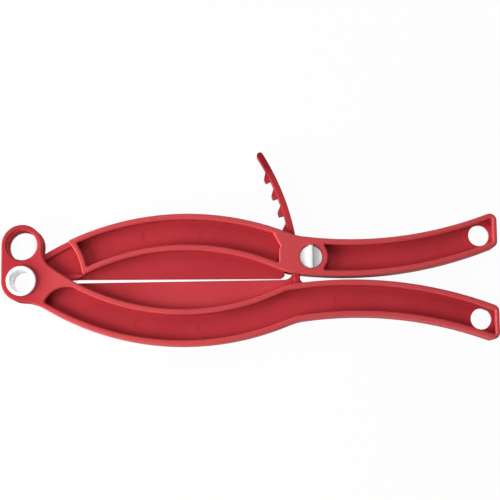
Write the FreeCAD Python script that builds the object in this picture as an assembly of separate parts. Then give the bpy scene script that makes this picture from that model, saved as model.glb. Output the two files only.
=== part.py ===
import FreeCAD, Part
import math
import os
from collections import namedtuple

# Pinch clamp: two mirrored I-beam arms on a hollow hinge sleeve, a toothed strap and a lock knob.
# Millimetres. The hinge axis at mid depth is the origin, +X runs along the pinch line to the
# handles, +Y is the upper arm's side and +Z the front.

Vector = FreeCAD.Vector
Bow = namedtuple("Bow", "x y r crown")

# Section of both arms: depth of the ribs, thickness of the middle web, width of a rib.
ARM_DEPTH = 16.0
WEB = 3.0
RIB = 3.3

# Bowed stretch over the jaws, given at its crown: outer edge and inner edge.
BELLY_X = 98.0
BELLY_OUT_Y = 39.8
BELLY_OUT_R = 165.8
BELLY_IN_Y = 17.8
BELLY_IN_R = 137.2

# Handle, given where the two handles come closest: outer edge and inner edge.
HANDLE_OUT_X = 199.7
HANDLE_OUT_Y = 23.2
HANDLE_OUT_R = 231.2
HANDLE_IN_X = 195.8
HANDLE_IN_Y = 1.05
HANDLE_IN_R = 243.4
ARM_END_X = 285.7
END_CORNER_R = 4.2
END_WALL = 2.6

# Necks between the bow and the handle: where they bend, and how far the bend is spread to each side.
NECK_OUT_X = 164.4
NECK_IN_X = 158.3
NECK_BLEND = 4.0

# Hanging hole in each handle, in the middle of the handle's width.
HANG_HOLE_R = 6.4
HANG_HOLE_TO_END = 10.1
HANG_PAD_WIDTH = 3.0
HANG_PAD_STEP = 0.4

# Hinge: sleeve, cheeks of the lower arm and tongue of the upper arm.
SLEEVE_R = 9.0
SLEEVE_BORE_R = 6.5
SLEEVE_PROUD = 2.2
SLEEVE_EDGE = 0.5
CHEEK_FIT = 0.03
EYE_FIT = 0.08
CHEEK_WALL = 3.3
SPARE_HOLE_Y = 21.8
CHEEK_T = 4.0
TONGUE_PLAY = 0.3
EYE_WALL = 2.8
EYE_PLAY = 1.4
FLOOR_PLAY = 1.4
HINGE_BLEND_R = 25.0
CHEEK_BLEND_R = 12.0
EYE_NOTCH_R = 1.5

# Round step of the upper arm that swings past the cheeks, and the recess in its tongue.
STEP_R = 36.5
STEP_RIB = 3.3
STEP_CORNER_R = 1.2
TONGUE_RIM = 3.0
TONGUE_HUB_R = 15.0

# Left end of the lower arm's pocket.
POCKET_TIP_X = 13.6
POCKET_END_X = 31.0
POCKET_END_R = 15.0
POCKET_CORNER_R = 1.0

# Jaw webs: the edges lean towards each other, so that their far ends meet first.
JAW_END_TO_STRAP = 11.5
JAW_END_GAP = 0.64
JAW_TOE = 0.34
JAW_SLANT = 4.0
JAW_EDGE = 0.6

# Toothed strap, moulded with the lower arm. Its back reaches furthest from the hinge at the height of
# its own centre, and its angles are about that centre.
STRAP_OUT_X = 167.0
STRAP_Y = -0.4
STRAP_R = 148.0
STRAP_BAND = 3.8
STRAP_WIDTH = 8.0
STRAP_TIP_ANGLE = 31.4
STRAP_GUSSET_R = 5.85
STRAP_FOOT_R = 3.0
TOOTH_COUNT = 5
TOOTH_HEIGHT = 3.1
TOOTH_PITCH = 4.48
TOOTH_TOP_ANGLE = 24.8
TOOTH_LAND = 1.05
TOOTH_RAMP = 1.5
TOOTH_NOSE_R = 0.6

# Block of the upper arm with the strap's slot, measured from the back of the strap. The catch lip stands
# in the slot's inner wall.
BLOCK_TO_STRAP = 12.5
BLOCK_TOP_TO_STRAP = 15.8
BLOCK_WAIST_Y = 19.2
BLOCK_NOTCH = 1.0
BLOCK_NOTCH_RISE = 1.7
SLOT_PLAY = 0.4
CATCH_DEPTH = 0.8
CATCH_ANGLE = 9.0
SLOT_SWEEP = 16.0

# Lock knob, measured from the back of the strap at the knob's height, its bore and its snap journal.
KNOB_TO_STRAP = 0.24
KNOB_Y = 12.9
KNOB_R = 6.96
KNOB_PLAY = 0.3
KNOB_WALL = 3.2
KNOB_RECESS = 1.2
KNOB_EDGE = 0.4
BAR_WIDTH = 2.6
BAR_RISE = 1.5
BAR_EDGE = 0.5
CAM_FLAT = 4.6
CAM_END_PLAY = 0.3
JOURNAL_R = 4.0
JOURNAL_FIT = 0.07
JOURNAL_WALL = 2.0
SNAP_LIP = 0.7
SNAP_RELIEF = 1.0
SNAP_SPLIT = 1.4
SNAP_PLAY = 0.1

# Broken rim edges of the mouldings, and the shallow round marks in their webs.
RIM_EDGE = 0.8
STRAP_EDGE = 0.5
MARK_R = 3.6
MARK_DEPTH = 0.2
UPPER_MARKS_X = (75.5, 110.0)
LOWER_MARKS_X = (71.0, 109.0, 191.0)

HALF = ARM_DEPTH / 2
HALF_WEB = WEB / 2
CHEEK_R = SLEEVE_R + CHEEK_WALL
SLOT_HALF = HALF - CHEEK_T
TONGUE_HALF = SLOT_HALF - TONGUE_PLAY
EYE_R = SLEEVE_R + EYE_WALL
STRAP_HALF = STRAP_WIDTH / 2
JAW_END_X = STRAP_OUT_X - JAW_END_TO_STRAP
BLOCK_X = STRAP_OUT_X - BLOCK_TO_STRAP
BLOCK_TOP_X = STRAP_OUT_X - BLOCK_TOP_TO_STRAP
KNOB_BORE_R = KNOB_R + KNOB_PLAY
ORIGIN = Vector(0, 0, 0)

BELLY_OUT = Bow(BELLY_X, BELLY_OUT_Y - BELLY_OUT_R, BELLY_OUT_R, 1)
BELLY_IN = Bow(BELLY_X, BELLY_IN_Y - BELLY_IN_R, BELLY_IN_R, 1)
HANDLE_OUT = Bow(HANDLE_OUT_X, HANDLE_OUT_Y + HANDLE_OUT_R, HANDLE_OUT_R, -1)
HANDLE_IN = Bow(HANDLE_IN_X, HANDLE_IN_Y + HANDLE_IN_R, HANDLE_IN_R, -1)
STRAP = Bow(STRAP_OUT_X - STRAP_R, STRAP_Y, STRAP_R, 1)
KNOB_X = STRAP.x + math.sqrt(STRAP.r ** 2 - (KNOB_Y - STRAP.y) ** 2) + KNOB_TO_STRAP + KNOB_R


def ring(x, y, r):
    """A full circle in the plane of the arms."""
    return Bow(x, y, r, 1)


def grown(bow, by):
    return bow._replace(r=bow.r + by)


def centre_of(bow):
    return Vector(bow.x, bow.y, 0)


def at_x(bow, x):
    """The point of a bow at x, on the side of its crown."""
    return Vector(x, bow.y + bow.crown * math.sqrt(bow.r ** 2 - (x - bow.x) ** 2), 0)


def slope_at(bow, point):
    """Direction of a bow at one of its points, towards +X."""
    return Vector(bow.crown * (point.y - bow.y), bow.crown * (bow.x - point.x), 0).normalize()


def at_angle(bow, degrees):
    turn = math.radians(degrees)
    return Vector(bow.x + bow.r * math.cos(turn), bow.y + bow.r * math.sin(turn), 0)


def meet(a, b, near):
    """The crossing of two circles that lies nearer to a given point."""
    span = math.hypot(b.x - a.x, b.y - a.y)
    along = (a.r ** 2 - b.r ** 2 + span ** 2) / (2 * span)
    aside = math.sqrt(a.r ** 2 - along ** 2)
    ux = (b.x - a.x) / span
    uy = (b.y - a.y) / span
    foot = Vector(a.x + along * ux, a.y + along * uy, 0)
    offset = Vector(-uy, ux, 0) * aside
    return min((foot + offset, foot - offset), key=lambda p: p.distanceToPoint(near))


def at_level(bow, y):
    """The right-hand point of a circle at height y."""
    return Vector(bow.x + math.sqrt(bow.r ** 2 - (y - bow.y) ** 2), y, 0)


def line(p, q):
    return Part.makeLine(p, q)


def arc(bow, p, q):
    """The shorter arc of a circle from p to q."""
    centre = centre_of(bow)
    middle = (p - centre) + (q - centre)
    return Part.Arc(p, centre + middle.normalize() * bow.r, q).toShape()


def arc_of_radius(p, q, radius):
    """An arc from p to q that bulges to the left of the way from p to q."""
    chord = q - p
    sagitta = radius - math.sqrt(radius ** 2 - (chord.Length / 2) ** 2)
    left = Vector(-chord.y, chord.x, 0).normalize()
    return Part.Arc(p, (p + q) * 0.5 + left * sagitta, q).toShape()


def prism(edges, low, high):
    face = Part.Face(Part.Wire(edges))
    face.translate(Vector(0, 0, low))
    return face.extrude(Vector(0, 0, high - low))


def post(bow, low, high):
    return Part.makeCylinder(bow.r, high - low, Vector(bow.x, bow.y, low))


def box(x0, y0, z0, x1, y1, z1):
    return Part.makeBox(x1 - x0, y1 - y0, z1 - z0, Vector(x0, y0, z0))


def mirrored(shape):
    """The same shape on the other side of the pinch line."""
    return shape.mirror(ORIGIN, Vector(0, 1, 0))


def flipped(point):
    return Vector(point.x, -point.y, 0)


def mirrored_bow(bow):
    return bow._replace(y=-bow.y, crown=-bow.crown)


def both_faces(shape):
    """A tool for the front face together with its twin for the back face."""
    return [shape, shape.mirror(ORIGIN, Vector(0, 0, 1))]


def upright_edges(shape):
    found = []
    for edge in shape.Edges:
        ends = [v.Point for v in edge.Vertexes]
        if len(ends) == 2 and math.hypot(ends[1].x - ends[0].x, ends[1].y - ends[0].y) < 1e-6:
            if abs(edge.Length - abs(ends[1].z - ends[0].z)) < 1e-6:
                found.append(edge)
    return found


def round_corner(shape, point, radius):
    """Round the upright edges that stand at one point of the outline."""
    edges = [e for e in upright_edges(shape) if math.dist(e.Vertexes[0].Point[:2], point[:2]) < 0.05]
    return shape.makeFillet(radius, edges)


def round_all_corners(shape, radius):
    return shape.makeFillet(radius, upright_edges(shape))


def bevel_levels(shape, levels, size):
    """Break every edge that lies level at one of the given heights."""
    flat = [edge for edge in shape.Edges if edge.BoundBox.ZLength < 1e-6]
    rims = [edge for edge in flat if min(abs(edge.BoundBox.ZMin - level) for level in levels) < 1e-6]
    return shape.makeChamfer(size, rims)


def jaw_y(x):
    """Half of the gap between the jaw webs at x."""
    return JAW_END_GAP / 2 + (JAW_END_X - x) * math.tan(math.radians(JAW_TOE))


def handle_middle(x):
    return (at_x(HANDLE_OUT, x).y + at_x(HANDLE_IN, x).y) / 2


def neck(belly, handle, bend_x):
    """Smooth bend from the bow's edge to the handle's edge."""
    start = at_x(belly, bend_x - NECK_BLEND)
    end = at_x(handle, bend_x + NECK_BLEND)
    lead = start + slope_at(belly, start) * (end - start).Length / 3
    follow = end - slope_at(handle, end) * (end - start).Length / 3
    curve = Part.BezierCurve()
    curve.setPoles([start, lead, follow, end])
    return start, curve.toShape(), end


def inner_edges(inset, handle_start, inner_start):
    """Inner edge of an arm, from a point on the handle back to a point on the bow."""
    belly_in = grown(BELLY_IN, inset)
    handle_in = grown(HANDLE_IN, -inset)
    neck_start, bend, neck_end = neck(belly_in, handle_in, NECK_IN_X)
    return [arc(handle_in, handle_start, neck_end), bend, arc(belly_in, neck_start, inner_start)]


def end_corner(bow, side, end_x, radius):
    """Rounded corner between a handle's edge and its end wall, inside the arm's material."""
    middle = at_x(grown(bow, side * radius), end_x - radius)
    centre = centre_of(bow)
    touch = centre + (middle - centre).normalize() * bow.r
    wall = Vector(end_x, middle.y, 0)
    return touch, arc(ring(middle.x, middle.y, radius), touch, wall), wall


def end_edges(inset, end_x, radius, outer_start):
    """Handle from a point on its outer edge to the last point on its inner edge."""
    handle_out = grown(HANDLE_OUT, inset)
    handle_in = grown(HANDLE_IN, -inset)
    outer_touch, outer_corner, outer_wall = end_corner(handle_out, 1, end_x, radius)
    inner_touch, inner_corner, inner_wall = end_corner(handle_in, -1, end_x, radius)
    side = arc(handle_out, outer_start, outer_touch)
    return [side, outer_corner, line(outer_wall, inner_wall), inner_corner], inner_touch


def arm_edges(inset, end_x, radius, outer_start, inner_start):
    """Arm outline from the outer edge of the bow round the handle's end to the bow's inner edge."""
    belly_out = grown(BELLY_OUT, -inset)
    neck_start, bend, neck_end = neck(belly_out, grown(HANDLE_OUT, inset), NECK_OUT_X)
    end, inner_touch = end_edges(inset, end_x, radius, neck_end)
    inner = inner_edges(inset, inner_touch, inner_start)
    return [arc(belly_out, outer_start, neck_start), bend] + end + inner


def hang_hole(shape):
    """Raise a low pad round the hanging hole and drill it."""
    x = ARM_END_X - HANG_HOLE_TO_END
    spot = ring(x, handle_middle(x), HANG_HOLE_R)
    half = HALF_WEB + HANG_PAD_STEP
    return shape.fuse(post(grown(spot, HANG_PAD_WIDTH), -half, half)).cut(post(spot, -half, half))


def web_marks(places):
    """Shallow round marks in the front of the web, in the middle between the ribs."""
    tools = []
    for x in places:
        if x < NECK_IN_X:
            y = (at_x(BELLY_OUT, x).y + at_x(BELLY_IN, x).y) / 2
        else:
            y = handle_middle(x)
        tools.append(post(ring(x, y, MARK_R), HALF_WEB - MARK_DEPTH, HALF))
    return tools


def lower_outline():
    """Full-depth outline of the lower arm: bowed arm, handle and the two rings of the hinge."""
    pivot_ring = ring(0, 0, CHEEK_R)
    spare_ring = ring(0, SPARE_HOLE_Y, CHEEK_R)
    outer_start = at_x(BELLY_OUT, CHEEK_R / 6)
    inner_start = at_x(BELLY_IN, CHEEK_R * 2 / 3)
    edges = arm_edges(0, ARM_END_X, END_CORNER_R, outer_start, inner_start)
    edges.append(line(inner_start, outer_start))
    arm = mirrored(prism(edges, -HALF, HALF))
    bridge = box(-CHEEK_R, 0, -HALF, inner_start.x, SPARE_HOLE_Y, HALF)
    rings = [post(pivot_ring, -HALF, HALF), post(spare_ring, -HALF, HALF), bridge]
    body = arm.fuse(rings).removeSplitter()
    below = flipped(meet(pivot_ring, BELLY_OUT, Vector(CHEEK_R, CHEEK_R, 0)))
    above = flipped(meet(ring(0, -SPARE_HOLE_Y, CHEEK_R), BELLY_IN, Vector(CHEEK_R, -CHEEK_R, 0)))
    body = round_corner(body, below, HINGE_BLEND_R)
    return round_corner(body, above, CHEEK_BLEND_R)


def lower_pocket():
    """The long recess between the ribs of the lower arm, on the front face."""
    tip = at_x(grown(BELLY_OUT, -RIB), POCKET_TIP_X)
    shoulder = at_x(grown(BELLY_IN, RIB), POCKET_END_X)
    edges = arm_edges(RIB, ARM_END_X - END_WALL, POCKET_CORNER_R, tip, shoulder)
    edges.append(arc_of_radius(shoulder, tip, POCKET_END_R))
    return mirrored(round_corner(prism(edges, HALF_WEB, HALF), tip, POCKET_CORNER_R))


def cheek_slot():
    """The gap between the cheeks, where the tongue swings."""
    floor_y = jaw_y(0) - FLOOR_PLAY
    swing = post(ring(0, 0, EYE_R + EYE_PLAY), -SLOT_HALF, SLOT_HALF)
    top_y = SPARE_HOLE_Y + 2 * CHEEK_R
    return [swing, box(-2 * CHEEK_R, floor_y, -SLOT_HALF, STEP_R, top_y, SLOT_HALF)]


def bevelled_jaw(web, side):
    """Break the two long edges of a jaw web that face the other jaw."""
    edges = []
    for edge in web.Edges:
        middle = edge.valueAt((edge.FirstParameter + edge.LastParameter) / 2)
        flat = edge.BoundBox.ZLength < 1e-6
        if flat and abs(side * middle.y - jaw_y(middle.x)) < 1e-3:
            edges.append(edge)
    return web.makeChamfer(JAW_EDGE, edges)


def lower_web():
    """Thin jaw of the lower arm, which sweeps up into the foot of the strap."""
    inset = RIB / 2
    left = Vector(POCKET_END_X, -jaw_y(POCKET_END_X), 0)
    sweep_end = at_level(grown(STRAP, -STRAP_BAND), STRAP_GUSSET_R - JAW_END_GAP / 2)
    sweep_x = sweep_end.x - STRAP_GUSSET_R
    sweep_start = Vector(sweep_x, -jaw_y(sweep_x), 0)
    inside = sweep_end + Vector(STRAP_BAND / 2, 0, 0)
    below = at_x(grown(HANDLE_IN, -inset), inside.x)
    left_below = at_x(grown(BELLY_IN, inset), POCKET_END_X)
    edges = [
        line(left, sweep_start),
        arc_of_radius(sweep_end, sweep_start, STRAP_GUSSET_R),
        line(sweep_end, inside),
        line(inside, flipped(below)),
    ]
    edges += [mirrored(edge) for edge in inner_edges(inset, below, left_below)]
    edges.append(line(flipped(left_below), left))
    return bevelled_jaw(prism(edges, -HALF_WEB, HALF_WEB), -1)


def tooth_angles():
    return [TOOTH_TOP_ANGLE - n * TOOTH_PITCH for n in range(TOOTH_COUNT)]


def tooth(angle):
    """One barbed tooth, rooted in the middle of the strap's band."""
    root = grown(STRAP, -STRAP_BAND / 2)
    inner = grown(STRAP, -STRAP_BAND)
    noses = grown(inner, -TOOTH_HEIGHT)
    ramp_angle = angle + TOOTH_LAND + TOOTH_RAMP
    root_low = at_angle(root, angle)
    root_high = at_angle(root, ramp_angle)
    nose = at_angle(noses, angle)
    land = at_angle(noses, angle + TOOTH_LAND)
    ramp = at_angle(inner, ramp_angle)
    half = STRAP_HALF - STRAP_EDGE
    body = prism([
        line(root_low, nose),
        line(nose, land),
        line(land, ramp),
        line(ramp, root_high),
        line(root_high, root_low),
    ], -half, half)
    return round_corner(round_corner(body, nose, TOOTH_NOSE_R), land, TOOTH_NOSE_R)


def strap():
    """Curved band with a round tip and barbed teeth on its inner side."""
    inner = grown(STRAP, -STRAP_BAND)
    root_y = -at_x(grown(HANDLE_IN, -RIB / 2), STRAP_OUT_X).y
    root_out = at_level(STRAP, root_y)
    root_in = at_level(inner, root_y)
    tip_out = at_angle(STRAP, STRAP_TIP_ANGLE)
    tip_in = at_angle(inner, STRAP_TIP_ANGLE)
    across = (tip_out - tip_in) * 0.5
    tip_end = tip_in + across + Vector(-across.y, across.x, 0)
    band = prism([
        line(root_in, root_out),
        arc(STRAP, root_out, tip_out),
        Part.Arc(tip_out, tip_end, tip_in).toShape(),
        arc(inner, tip_in, root_in),
    ], -STRAP_HALF, STRAP_HALF)
    band = bevel_levels(band, (-STRAP_HALF, STRAP_HALF), STRAP_EDGE)
    return band.fuse([tooth(angle) for angle in tooth_angles()])


def strap_foot():
    """Concave fillet between the strap's outer side and the handle's inner edge."""
    handle_in = mirrored_bow(HANDLE_IN)
    foot = meet(STRAP, handle_in, Vector(STRAP_OUT_X, 0, 0))
    hollow = meet(grown(STRAP, STRAP_FOOT_R), grown(handle_in, STRAP_FOOT_R), foot)
    on_strap = hollow + (centre_of(STRAP) - hollow).normalize() * STRAP_FOOT_R
    on_handle = hollow + (centre_of(handle_in) - hollow).normalize() * STRAP_FOOT_R
    inside = foot - Vector(STRAP_BAND / 2, STRAP_BAND / 2, 0)
    curve = arc(ring(hollow.x, hollow.y, STRAP_FOOT_R), on_strap, on_handle)
    half = STRAP_HALF - STRAP_EDGE
    return prism([line(inside, on_strap), curve, line(on_handle, inside)], -half, half)


def lower_arm():
    body = lower_outline().cut(both_faces(lower_pocket()))
    body = body.fuse([lower_web(), strap(), strap_foot()]).removeSplitter()
    body = mirrored(hang_hole(mirrored(body)))
    spare_hole = post(ring(0, SPARE_HOLE_Y, SLEEVE_R + EYE_FIT), -HALF, HALF)
    body = body.cut(cheek_slot() + [spare_hole])
    body = body.cut([mirrored(mark) for mark in web_marks(LOWER_MARKS_X)])
    body = bevel_levels(body, (-HALF, HALF), RIM_EDGE)
    return body.cut(post(ring(0, 0, SLEEVE_R + CHEEK_FIT), -HALF, HALF))


def tongue():
    """Thin end of the upper arm that turns between the cheeks, with its eye."""
    eye = ring(0, 0, EYE_R)
    reach = STEP_R + STEP_RIB / 2
    outer_start = at_x(BELLY_OUT, EYE_R / 6)
    outer_end = meet(BELLY_OUT, ring(0, 0, reach), Vector(STEP_R, STEP_R, 0))
    lower_start = Vector(0, jaw_y(0), 0)
    lower_end = Vector(reach, jaw_y(reach), 0)
    plate = prism([
        arc(BELLY_OUT, outer_start, outer_end),
        arc_of_radius(outer_end, lower_end, reach),
        line(lower_end, lower_start),
        line(lower_start, outer_start),
    ], -TONGUE_HALF, TONGUE_HALF)
    plate = plate.cut(post(BELLY_IN, -TONGUE_HALF, TONGUE_HALF))
    plate = plate.fuse(post(eye, -TONGUE_HALF, TONGUE_HALF)).removeSplitter()
    plate = round_corner(plate, meet(BELLY_OUT, eye, Vector(EYE_R, EYE_R, 0)), HINGE_BLEND_R)
    return round_corner(plate, at_level(eye, jaw_y(EYE_R)), EYE_NOTCH_R)


def tongue_pocket():
    """Recess in the tongue between its hub, its rims and the round step."""
    hub = ring(0, 0, TONGUE_HUB_R)
    step = ring(0, 0, STEP_R)
    rim = grown(BELLY_OUT, -RIB)
    low_y = jaw_y(STEP_R) + TONGUE_RIM
    near_hub = at_level(hub, low_y)
    near_step = at_level(step, low_y)
    step_top = meet(rim, step, Vector(STEP_R, STEP_R, 0))
    hub_top = meet(rim, hub, Vector(TONGUE_HUB_R, TONGUE_HUB_R, 0))
    return prism([
        line(near_hub, near_step),
        arc(step, near_step, step_top),
        arc(rim, step_top, hub_top),
        arc(hub, hub_top, near_hub),
    ], HALF_WEB, HALF)


def upper_outline():
    """Full-depth outline of the upper arm, from the round step to the handle's end."""
    step = ring(0, 0, STEP_R)
    outer_start = meet(BELLY_OUT, step, Vector(STEP_R, STEP_R, 0))
    inner_start = meet(BELLY_IN, step, Vector(STEP_R, 0, 0))
    edges = arm_edges(0, ARM_END_X, END_CORNER_R, outer_start, inner_start)
    edges.append(arc(step, inner_start, outer_start))
    arm = round_corner(prism(edges, -HALF, HALF), outer_start, STEP_CORNER_R)
    return round_corner(arm, inner_start, STEP_CORNER_R)


def upper_web():
    """Thin jaw of the upper arm with its slanted end."""
    rib_in = grown(BELLY_IN, RIB / 2)
    left = Vector(POCKET_END_X, jaw_y(POCKET_END_X), 0)
    jaw_end = Vector(JAW_END_X, jaw_y(JAW_END_X), 0)
    slant_end = at_x(BELLY_IN, JAW_END_X + JAW_SLANT)
    right_above = at_x(rib_in, slant_end.x)
    left_above = at_x(rib_in, POCKET_END_X)
    web = prism([
        line(left, jaw_end),
        line(jaw_end, slant_end),
        line(slant_end, right_above),
        arc(rib_in, right_above, left_above),
        line(left_above, left),
    ], -HALF_WEB, HALF_WEB)
    return bevelled_jaw(web, 1)


def bow_pocket():
    """Recess of the upper arm between the round step and the block."""
    step = ring(0, 0, STEP_R + STEP_RIB)
    top = grown(BELLY_OUT, -RIB)
    low = grown(BELLY_IN, RIB)
    step_top = meet(top, step, Vector(STEP_R, STEP_R, 0))
    step_low = meet(low, step, Vector(STEP_R, 0, 0))
    block_top = at_x(top, BLOCK_TOP_X)
    block_waist = Vector(BLOCK_X + BLOCK_NOTCH, BLOCK_WAIST_Y, 0)
    block_side = Vector(BLOCK_X, BLOCK_WAIST_Y - BLOCK_NOTCH_RISE, 0)
    block_low = at_x(low, BLOCK_X)
    tool = prism([
        arc(top, step_top, block_top),
        line(block_top, block_waist),
        line(block_waist, block_side),
        line(block_side, block_low),
        arc(low, block_low, step_low),
        arc(step, step_low, step_top),
    ], HALF_WEB, HALF)
    return round_all_corners(tool, POCKET_CORNER_R)


def handle_pocket():
    """Recess of the upper handle, from the knob's boss to the end wall."""
    boss = ring(KNOB_X, KNOB_Y, KNOB_BORE_R + KNOB_WALL)
    top = grown(HANDLE_OUT, RIB)
    low = grown(HANDLE_IN, -RIB)
    boss_top = meet(top, boss, Vector(KNOB_X + boss.r, KNOB_Y + boss.r, 0))
    boss_low = meet(low, boss, Vector(KNOB_X + boss.r, KNOB_Y - boss.r, 0))
    edges, inner_touch = end_edges(RIB, ARM_END_X - END_WALL, POCKET_CORNER_R, boss_top)
    edges += [arc(low, inner_touch, boss_low), arc(boss, boss_low, boss_top)]
    tool = round_corner(prism(edges, HALF_WEB, HALF), boss_top, POCKET_CORNER_R)
    return round_corner(tool, boss_low, POCKET_CORNER_R)


def sector(inner_r, outer_r, start, end, half):
    """A curved bar about the hinge axis, between two radii and two angles."""
    inner = ring(0, 0, inner_r)
    outer = ring(0, 0, outer_r)
    corners = [at_angle(b, a) for b, a in ((inner, start), (outer, start), (outer, end), (inner, end))]
    return prism([
        line(corners[0], corners[1]),
        arc(outer, corners[1], corners[2]),
        line(corners[2], corners[3]),
        arc(inner, corners[3], corners[0]),
    ], -half, half)


def strap_slot():
    """Slot for the strap, clear of its teeth over the whole swing, with a catch lip in its inner wall."""
    noses = grown(STRAP, -STRAP_BAND - TOOTH_HEIGHT)
    inner_r = min(at_angle(noses, angle + TOOTH_LAND).Length for angle in tooth_angles()) - SLOT_PLAY
    outer_r = centre_of(STRAP).Length + STRAP_R + SLOT_PLAY
    half = STRAP_HALF + SLOT_PLAY
    passage = sector(inner_r, outer_r, -SLOT_SWEEP / 4, SLOT_SWEEP, half)
    relief = sector(inner_r - CATCH_DEPTH, outer_r, CATCH_ANGLE, SLOT_SWEEP, half)
    return [passage, relief]


def knob_bore():
    """Stepped bore for the knob, open to the strap's slot on the cam's side."""
    spot = ring(KNOB_X, KNOB_Y, KNOB_BORE_R)
    floor = -STRAP_HALF - SLOT_PLAY
    window = box(KNOB_X - KNOB_BORE_R - 2 * SLOT_PLAY, KNOB_Y - CAM_FLAT, floor,
                 KNOB_X, KNOB_Y + CAM_FLAT, -floor)
    journal = post(ring(KNOB_X, KNOB_Y, JOURNAL_R + JOURNAL_FIT), -HALF, HALF)
    relief = ring(KNOB_X, KNOB_Y, JOURNAL_R + SNAP_LIP + SNAP_RELIEF)
    return [post(spot, floor, HALF), window, journal, post(relief, -HALF, floor - JOURNAL_WALL)]


def upper_arm():
    body = upper_outline().cut(both_faces(bow_pocket()) + both_faces(handle_pocket()))
    body = body.fuse([tongue(), upper_web()]).removeSplitter()
    body = bevel_levels(hang_hole(body), (-HALF, HALF), RIM_EDGE)
    body = body.cut(both_faces(tongue_pocket()) + strap_slot() + knob_bore())
    eye = post(ring(0, 0, SLEEVE_R + EYE_FIT), -HALF, HALF)
    return body.cut([eye] + web_marks(UPPER_MARKS_X))


def pivot_sleeve():
    """Hollow hinge pin that stands proud of the front cheek."""
    top = HALF + SLEEVE_PROUD
    tube = post(ring(0, 0, SLEEVE_R), -HALF, top).cut(post(ring(0, 0, SLEEVE_BORE_R), -HALF, top))
    return bevel_levels(tube, (-HALF, top), SLEEVE_EDGE)


def lock_knob():
    """Round knob with a grip bar, a flat-sided cam beside the strap and a split snap journal."""
    floor = -STRAP_HALF - SLOT_PLAY
    cam_low = floor + CAM_END_PLAY
    face = HALF - KNOB_RECESS
    disc = bevel_levels(post(ring(KNOB_X, KNOB_Y, KNOB_R), cam_low, face), [face], KNOB_EDGE)
    flat = box(KNOB_X - 2 * KNOB_R, KNOB_Y - KNOB_R, cam_low, KNOB_X - CAM_FLAT, KNOB_Y + KNOB_R, -floor)
    bar = box(KNOB_X - BAR_WIDTH / 2, KNOB_Y - KNOB_R, face, KNOB_X + BAR_WIDTH / 2, KNOB_Y + KNOB_R,
              HALF + BAR_RISE)
    bar = bar.common(post(ring(KNOB_X, KNOB_Y, KNOB_R), face, HALF + BAR_RISE))
    bar = bevel_levels(bar, [HALF + BAR_RISE], BAR_EDGE)
    lip_top = floor - JOURNAL_WALL - SNAP_PLAY
    end = -HALF + CAM_END_PLAY
    journal = post(ring(KNOB_X, KNOB_Y, JOURNAL_R), end, cam_low)
    lip = Part.makeCone(JOURNAL_R, JOURNAL_R + SNAP_LIP, lip_top - end, Vector(KNOB_X, KNOB_Y, end))
    split = box(KNOB_X - SNAP_SPLIT / 2, KNOB_Y - 2 * JOURNAL_R, end, KNOB_X + SNAP_SPLIT / 2,
                KNOB_Y + 2 * JOURNAL_R, cam_low)
    body = disc.cut(flat).fuse([bar, journal, lip]).removeSplitter()
    return body.cut(split)


NODES = {
    "lower_arm": lower_arm,
    "upper_arm": upper_arm,
    "pivot_sleeve": pivot_sleeve,
    "lock_knob": lock_knob,
}

os.makedirs("parts", exist_ok=True)
for name, make in NODES.items():
    shape = make()
    print(name, "solids", len(shape.Solids), "valid", shape.isValid(), "volume", round(shape.Volume))
    shape.exportStep("parts/" + name + ".step")
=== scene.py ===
import math

import bpy
from mathutils import Matrix, Vector


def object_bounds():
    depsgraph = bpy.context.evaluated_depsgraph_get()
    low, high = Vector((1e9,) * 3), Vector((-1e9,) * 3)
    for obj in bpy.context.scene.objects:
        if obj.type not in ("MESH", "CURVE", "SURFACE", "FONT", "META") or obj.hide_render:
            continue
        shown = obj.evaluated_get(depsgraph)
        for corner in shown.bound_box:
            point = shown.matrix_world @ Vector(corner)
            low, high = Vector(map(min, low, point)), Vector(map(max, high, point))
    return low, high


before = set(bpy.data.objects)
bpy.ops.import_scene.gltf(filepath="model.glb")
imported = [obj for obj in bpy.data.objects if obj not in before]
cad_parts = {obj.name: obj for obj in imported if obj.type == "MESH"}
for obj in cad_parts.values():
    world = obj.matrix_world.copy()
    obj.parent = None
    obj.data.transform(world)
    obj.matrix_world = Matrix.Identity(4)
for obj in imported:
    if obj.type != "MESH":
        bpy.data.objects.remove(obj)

# Pinch clamp of red moulded plastic with a white hinge sleeve and a white lock knob.
# Metres, in the frame of the part: hinge axis at the origin, +X to the handles, +Z out of the front.

CAD_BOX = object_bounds()
MM = 0.001

# Camera of the photograph: it stands in front of the clamp, a little below its middle.
CAMERA_AT = Vector((0.1359, -0.08636, 0.85166))
CAMERA_TARGET = Vector((0.13705, 0.01722, 0.008))
CAMERA_RIGHT = Vector((0.99994, -0.01117, 0.0))
CAMERA_ANGLE = math.radians(20.02)
CAMERA_SENSOR_MM = 36.0
CAMERA_CLIP = (0.01, 20.0)

# Lamps: all have one size and aim at the middle of the clamp. Each has its place and its power in watts.
LAMP_TARGET = Vector((0.14, 0.0, 0.0))
LAMP_SIZE = 0.60
LAMPS = {
    "key": ((-0.72, -0.21, 0.41), 11.9),
    "low": ((-0.35, -0.49, 0.98), 2.8),
    "top": ((0.17, 0.83, 0.86), 4.3),
    "front": ((0.14, 0.0, 1.20), 0.9),
}
WORLD_LIGHT = 0.03

# Floor: its own colour, the share of full white where it is seen near the clamp, and the distance over
# which that share rises to the whole.
FLOOR_SIZE = 6.0
FLOOR = (0.90, 0.90, 0.90)
FLOOR_WHITE_SHARE = 0.96
FLOOR_FADE = (0.17, 0.45)

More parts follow.
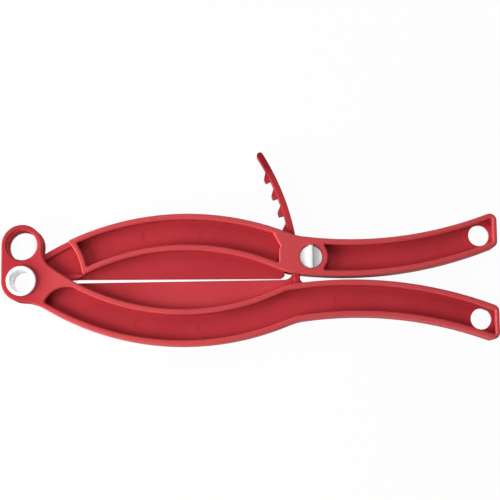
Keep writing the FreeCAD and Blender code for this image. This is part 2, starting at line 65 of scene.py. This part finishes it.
# Colours, as linear light. Each set runs from the recesses to the rims, at the stops of TONE_STOPS: the
# deeper colours are painted shade in the recesses, the palest is painted sheen on the rims, and the
# darkest red is the painted shade of the hinge end and the strap's tip.
RED_SHADE_TO_SHEEN = ((0.30, 0.008, 0.014), (0.44, 0.026, 0.036), (0.54, 0.038, 0.050), (0.64, 0.070, 0.077))
RED_EDGE_WEAR_AND_HIGHLIGHT = (0.70, 0.088, 0.094)
# The deeper white is painted shade on the knob's sunk disc; the full white on its raised bar is painted
# light.
WHITE_SHADED = (0.89, 0.89, 0.92)
WHITE_SHADE_TO_SHEEN = (WHITE_SHADED, WHITE_SHADED, WHITE_SHADED, (0.97, 0.97, 0.97))
TONE_STOPS = (0.0, 0.08, 0.30, 0.90)

# Tone of a rim above that of a recess, which paints sheen on the rims and shade in the recesses, and the
# share of the tone that is cloudy.
RIM_SHEEN_OVER_SHADE = 0.70
CLOUD_SHARE = 0.30

# Distance from the middle plane over which the painted shade of the recesses turns into the painted
# sheen of the rims; on the knob the painted shade lies on the sunk disc and the sheen on the raised bar.
# The sleeve's ends below that plane, so the sleeve has the tone of the rims all over.
LOWER_RISE = (4.2 * MM, 7.0 * MM)
UPPER_RISE = (1.7 * MM, 7.0 * MM)
KNOB_RISE = (6.9 * MM, 8.5 * MM)
SLEEVE_RISE = (-9.0 * MM, -8.0 * MM)

# Plastics: roughness, how far it varies to each side, specular level and refraction.
RED_ROUGH = 0.55
KNOB_ROUGH = 0.24
SLEEVE_ROUGH = 0.18
ROUGH_SPREAD = 0.06
RED_SHINE = 0.12
WHITE_SHINE = 0.50
PLASTIC_IOR = 1.48

# Scales of the noise, per metre, and the grain that the mould leaves.
CLOUD_SCALE = 38.0
WEAR_AND_HIGHLIGHT_SCALE = 60.0
GLOSS_SCALE = 130.0
PORE_SCALE = 2600.0
CLOUD_DETAIL = 3.0
PORE_DETAIL = 2.0
PORE_DEPTH = 0.02 * MM
PORE_STRENGTH = 0.35

# The lower arm has painted shade at its hinge end, and its strap runs from painted shade at the tip to
# painted light at the foot.
HINGE_FADE = (5.0 * MM, 21.0 * MM)
HINGE_SHADE = -0.73
STRAP_X = 120.0 * MM
STRAP_Y = 4.0 * MM
STRAP_FADE = (15.0 * MM, 72.0 * MM)
STRAP_LIGHT_AND_SHADE = (0.30, -0.20)

# Painted light on the lower jaw web, which lies inside the round of the bowed rib.
BOW_CENTRE_X = 98.0 * MM
BOW_CENTRE_Y = 119.4 * MM
BOW_RADIUS = 137.0 * MM
JAW_FADE = (50.0 * MM, 95.0 * MM)
JAW_LIGHT = 0.32

# The bevels lean halfway between the front and the walls. They are worn paler and smoother, and the
# paler colour, stronger where the tone is paler, is also a painted highlight along the edges.
BEVEL_LEAN = math.cos(math.radians(45))
BEVEL_FADE = (0.20, 0.10)
WEAR_AND_HIGHLIGHT = 2.0
WEAR_POLISH = -0.25

SMOOTH_ANGLE = math.radians(50)


def new_material(name):
    material = bpy.data.materials.new(name)
    material.use_nodes = True
    nodes = material.node_tree.nodes
    nodes.clear()
    return material, nodes, material.node_tree.links


def noise(nodes, links, place, scale, detail=CLOUD_DETAIL):
    node = nodes.new("ShaderNodeTexNoise")
    node.inputs["Scale"].default_value = scale
    node.inputs["Detail"].default_value = detail
    links.new(place, node.inputs["Vector"])
    return node.outputs["Fac"]


def ramp(nodes, links, source, colours):
    """Colours at the stops of the tones. A new ramp has the first and the last stop."""
    node = nodes.new("ShaderNodeValToRGB")
    elements = node.color_ramp.elements
    elements[0].position = TONE_STOPS[0]
    elements[1].position = TONE_STOPS[-1]
    for position in TONE_STOPS[1:-1]:
        elements.new(position)
    for element, colour in zip(elements, colours):
        element.color = (*colour, 1.0)
    links.new(source, node.inputs["Fac"])
    return node.outputs["Color"]


def toward(nodes, links, share, colour, other):
    """The colour, mixed with another by a share that changes over the surface."""
    node = nodes.new("ShaderNodeMix")
    node.data_type = "RGBA"
    links.new(share, node.inputs["Factor"])
    links.new(colour, node.inputs["A"])
    node.inputs["B"].default_value = (*other, 1.0)
    return node.outputs["Result"]


def bump(nodes, links, source, height, strength):
    node = nodes.new("ShaderNodeBump")
    node.inputs["Distance"].default_value = height
    node.inputs["Strength"].default_value = strength
    links.new(source, node.inputs["Height"])
    return node.outputs["Normal"]


def math_node(nodes, links, operation, *values):
    """One arithmetic step on sockets and plain numbers."""
    node = nodes.new("ShaderNodeMath")
    node.operation = operation
    for socket, value in zip(node.inputs, values):
        if isinstance(value, (int, float)):
            socket.default_value = value
        else:
            links.new(value, socket)
    return node.outputs["Value"]


def fade(nodes, links, source, start, end, low=0.0, high=1.0):
    """From low where the source is at its start to high where it is at its end."""
    node = nodes.new("ShaderNodeMapRange")
    node.inputs["From Min"].default_value = start
    node.inputs["From Max"].default_value = end
    node.inputs["To Min"].default_value = low
    node.inputs["To Max"].default_value = high
    links.new(source, node.inputs["Value"])
    return node.outputs["Result"]


def split(nodes, links, vector):
    node = nodes.new("ShaderNodeSeparateXYZ")
    links.new(vector, node.inputs["Vector"])
    return node.outputs


def recess_shade_rim_sheen(nodes, links, place, rise):
    """Cloudy tone that rises from painted shade in the recesses to painted sheen on the rims, by the
    distance from the middle plane.
    """
    away = math_node(nodes, links, "ABSOLUTE", split(nodes, links, place)["Z"])
    level = fade(nodes, links, away, *rise, 0.0, RIM_SHEEN_OVER_SHADE)
    clouds = noise(nodes, links, place, CLOUD_SCALE)
    return math_node(nodes, links, "MULTIPLY_ADD", clouds, CLOUD_SHARE, level)


def hinge_painted_shade(nodes, links, place):
    """Painted shade, deeper towards the hinge end."""
    along = split(nodes, links, place)["X"]
    return fade(nodes, links, along, *HINGE_FADE, HINGE_SHADE, 0.0)


def strap_painted_light(nodes, links, place):
    """Painted light at the foot of the strap and painted shade at its tip."""
    x, y, _ = split(nodes, links, place)
    beside = fade(nodes, links, x, STRAP_X - MM, STRAP_X + MM)
    above = fade(nodes, links, y, STRAP_Y - MM, STRAP_Y + MM)
    along = fade(nodes, links, y, *STRAP_FADE, *STRAP_LIGHT_AND_SHADE)
    strap = math_node(nodes, links, "MULTIPLY", beside, above)
    return math_node(nodes, links, "MULTIPLY", strap, along)


def jaw_painted_light(nodes, links, place):
    """Painted light on the lower jaw web, rising from its hinge end, which lies in shade, towards its
    middle.
    """
    x, y, _ = split(nodes, links, place)
    off_x = math_node(nodes, links, "SUBTRACT", x, BOW_CENTRE_X)
    off_y = math_node(nodes, links, "SUBTRACT", y, BOW_CENTRE_Y)
    square = math_node(nodes, links, "MULTIPLY", off_x, off_x)
    square = math_node(nodes, links, "MULTIPLY_ADD", off_y, off_y, square)
    inside = fade(nodes, links, math_node(nodes, links, "SQRT", square), BOW_RADIUS, BOW_RADIUS - MM)
    below = fade(nodes, links, y, MM, 0.0)
    along = fade(nodes, links, x, *JAW_FADE, 0.0, JAW_LIGHT)
    web = math_node(nodes, links, "MULTIPLY", inside, below)
    return math_node(nodes, links, "MULTIPLY", web, along)


def bevels(nodes, links):
    """1 on the bevelled edges and 0 on the flat faces and the walls."""
    normal = nodes.new("ShaderNodeNewGeometry").outputs["True Normal"]
    lean = math_node(nodes, links, "ABSOLUTE", split(nodes, links, normal)["Z"])
    off = math_node(nodes, links, "SUBTRACT", lean, BEVEL_LEAN)
    return fade(nodes, links, math_node(nodes, links, "ABSOLUTE", off), *BEVEL_FADE)


def moulded_plastic(name, shade_to_sheen, rise, rough, shine, painted_light_shifts=(), edge=None):
    """Moulded plastic: cloudy colour with painted shade in the recesses and painted sheen on the rims,
    uneven gloss, the fine grain of the mould and worn edges that also carry a painted highlight.
    """
    material, nodes, links = new_material(name)
    shader = nodes.new("ShaderNodeBsdfPrincipled")
    output = nodes.new("ShaderNodeOutputMaterial")
    links.new(shader.outputs["BSDF"], output.inputs["Surface"])
    place = nodes.new("ShaderNodeTexCoord").outputs["Object"]
    tone = recess_shade_rim_sheen(nodes, links, place, rise)
    # The shifts paint light and shade onto the tone.
    for shift in painted_light_shifts:
        tone = math_node(nodes, links, "ADD", tone, shift(nodes, links, place))
    colour = ramp(nodes, links, tone, shade_to_sheen)
    patches = noise(nodes, links, place, GLOSS_SCALE)
    gloss = fade(nodes, links, patches, 0.0, 1.0, rough - ROUGH_SPREAD, rough + ROUGH_SPREAD)
    if edge:
        # Edge wear, which also paints a highlight on the bevels.
        wear_and_highlight_patches = noise(nodes, links, place, WEAR_AND_HIGHLIGHT_SCALE)
        wear_and_highlight = math_node(nodes, links, "MULTIPLY", bevels(nodes, links), wear_and_highlight_patches)
        wear_and_highlight = math_node(nodes, links, "MULTIPLY", wear_and_highlight, tone)
        wear_and_highlight = math_node(nodes, links, "MULTIPLY", wear_and_highlight, WEAR_AND_HIGHLIGHT)
        colour = toward(nodes, links, wear_and_highlight, colour, edge)
        gloss = math_node(nodes, links, "MULTIPLY_ADD", wear_and_highlight, WEAR_POLISH, gloss)
    links.new(colour, shader.inputs["Base Color"])
    links.new(gloss, shader.inputs["Roughness"])
    pores = noise(nodes, links, place, PORE_SCALE, PORE_DETAIL)
    links.new(bump(nodes, links, pores, PORE_DEPTH, PORE_STRENGTH), shader.inputs["Normal"])
    shader.inputs["IOR"].default_value = PLASTIC_IOR
    shader.inputs["Specular IOR Level"].default_value = shine
    return material


def seen_direct(nodes, links):
    """1 for what the camera sees, straight or in a mirror or glass, and 0 for light on its way."""
    path = nodes.new("ShaderNodeLightPath").outputs
    mirrored = math_node(nodes, links, "MAXIMUM", path["Is Glossy Ray"], path["Is Transmission Ray"])
    return math_node(nodes, links, "MAXIMUM", path["Is Camera Ray"], mirrored)


def floor_material():
    """White floor, brought up to full white where it is seen, with the clamp's shadow kept near it."""
    material, nodes, links = new_material("floor_white")
    reach = nodes.new("ShaderNodeVectorMath")
    reach.operation = "LENGTH"
    links.new(nodes.new("ShaderNodeTexCoord").outputs["Object"], reach.inputs["Vector"])
    white = fade(nodes, links, reach.outputs["Value"], *FLOOR_FADE, FLOOR_WHITE_SHARE, 1.0)
    plain = nodes.new("ShaderNodeBsdfDiffuse")
    plain.inputs["Color"].default_value = (*FLOOR, 1.0)
    glow = nodes.new("ShaderNodeEmission")
    glow.inputs["Color"].default_value = (1.0, 1.0, 1.0, 1.0)
    mix = nodes.new("ShaderNodeMixShader")
    share = math_node(nodes, links, "MULTIPLY", seen_direct(nodes, links), white)
    links.new(share, mix.inputs["Fac"])
    links.new(plain.outputs["BSDF"], mix.inputs[1])
    links.new(glow.outputs["Emission"], mix.inputs[2])
    output = nodes.new("ShaderNodeOutputMaterial")
    links.new(mix.outputs["Shader"], output.inputs["Surface"])
    return material


def smooth_by_angle():
    """Node group that shades smooth across edges flatter than the smoothing angle."""
    group = bpy.data.node_groups.new("smooth_by_angle", "GeometryNodeTree")
    group.interface.new_socket("Geometry", in_out="INPUT", socket_type="NodeSocketGeometry")
    group.interface.new_socket("Geometry", in_out="OUTPUT", socket_type="NodeSocketGeometry")
    nodes = group.nodes
    links = group.links
    start = nodes.new("NodeGroupInput")
    end = nodes.new("NodeGroupOutput")
    faces = nodes.new("GeometryNodeSetShadeSmooth")
    faces.domain = "FACE"
    edges = nodes.new("GeometryNodeSetShadeSmooth")
    edges.domain = "EDGE"
    angle = nodes.new("GeometryNodeInputMeshEdgeAngle")
    flat = nodes.new("FunctionNodeCompare")
    flat.data_type = "FLOAT"
    flat.operation = "LESS_THAN"
    flat.inputs["B"].default_value = SMOOTH_ANGLE
    links.new(angle.outputs["Unsigned Angle"], flat.inputs["A"])
    links.new(start.outputs["Geometry"], faces.inputs["Geometry"])
    links.new(faces.outputs["Geometry"], edges.inputs["Geometry"])
    links.new(flat.outputs["Result"], edges.inputs["Shade Smooth"])
    links.new(edges.outputs["Geometry"], end.inputs["Geometry"])
    return group


def finish_node(name, material, group):
    """Give a solid its material and its smooth shading."""
    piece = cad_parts[name]
    piece.data.materials.clear()
    piece.data.materials.append(material)
    smooth = piece.modifiers.new("smooth", "NODES")
    smooth.node_group = group
    weigh = piece.modifiers.new("weigh", "WEIGHTED_NORMAL")
    weigh.keep_sharp = True


def make_floor():
    """Floor under the back of the clamp, which lies on it."""
    place = (CAMERA_TARGET.x, 0.0, CAD_BOX[0].z)
    bpy.ops.mesh.primitive_plane_add(size=FLOOR_SIZE, location=place)
    floor = bpy.context.object
    floor.name = "floor"
    floor.data.materials.append(floor_material())


def make_light(name, place, power):
    data = bpy.data.lights.new(name, "AREA")
    data.shape = "SQUARE"
    data.size = LAMP_SIZE
    data.energy = power
    lamp = bpy.data.objects.new(name, data)
    lamp.location = place
    lamp.rotation_mode = "QUATERNION"
    lamp.rotation_quaternion = (LAMP_TARGET - Vector(place)).to_track_quat("-Z", "Y")
    bpy.context.scene.collection.objects.link(lamp)


def make_world():
    """Even white surroundings: full white to the camera, a plain level of light on the clamp."""
    world = bpy.data.worlds.new("studio")
    bpy.context.scene.world = world
    world.use_nodes = True
    nodes = world.node_tree.nodes
    links = world.node_tree.links
    back = nodes["Background"]
    level = fade(nodes, links, seen_direct(nodes, links), 0.0, 1.0, WORLD_LIGHT, 1.0)
    back.inputs["Color"].default_value = (1.0, 1.0, 1.0, 1.0)
    links.new(level, back.inputs["Strength"])


def make_camera():
    back = (CAMERA_AT - CAMERA_TARGET).normalized()
    right = CAMERA_RIGHT.normalized()
    up = back.cross(right).normalized()
    right = up.cross(back)
    turn = Matrix((right, up, back)).transposed()
    data = bpy.data.cameras.new("camera")
    data.sensor_width = CAMERA_SENSOR_MM
    data.lens = data.sensor_width / 2 / math.tan(CAMERA_ANGLE / 2)
    data.clip_start, data.clip_end = CAMERA_CLIP
    camera = bpy.data.objects.new("camera", data)
    camera.matrix_world = Matrix.Translation(CAMERA_AT) @ turn.to_4x4()
    bpy.context.scene.collection.objects.link(camera)
    bpy.context.scene.camera = camera


bpy.context.scene.view_settings.view_transform = "Standard"

# The lower arm's shifts are painted light and shade at the hinge, the strap and the jaw.
lower_painted_light = (hinge_painted_shade, strap_painted_light, jaw_painted_light)
lower_red = moulded_plastic(
    "red_lower", RED_SHADE_TO_SHEEN, LOWER_RISE, RED_ROUGH, RED_SHINE, lower_painted_light, RED_EDGE_WEAR_AND_HIGHLIGHT)
upper_red = moulded_plastic("red_upper", RED_SHADE_TO_SHEEN, UPPER_RISE, RED_ROUGH, RED_SHINE, (), RED_EDGE_WEAR_AND_HIGHLIGHT)
knob_white = moulded_plastic("white_knob", WHITE_SHADE_TO_SHEEN, KNOB_RISE, KNOB_ROUGH, WHITE_SHINE)
sleeve_white = moulded_plastic("white_sleeve", WHITE_SHADE_TO_SHEEN, SLEEVE_RISE, SLEEVE_ROUGH, WHITE_SHINE)
shading = smooth_by_angle()
finish_node("lower_arm", lower_red, shading)
finish_node("upper_arm", upper_red, shading)
finish_node("pivot_sleeve", sleeve_white, shading)
finish_node("lock_knob", knob_white, shading)

make_world()
make_floor()
for lamp_name, (lamp_place, lamp_power) in LAMPS.items():
    make_light(lamp_name, lamp_place, lamp_power)
make_camera()
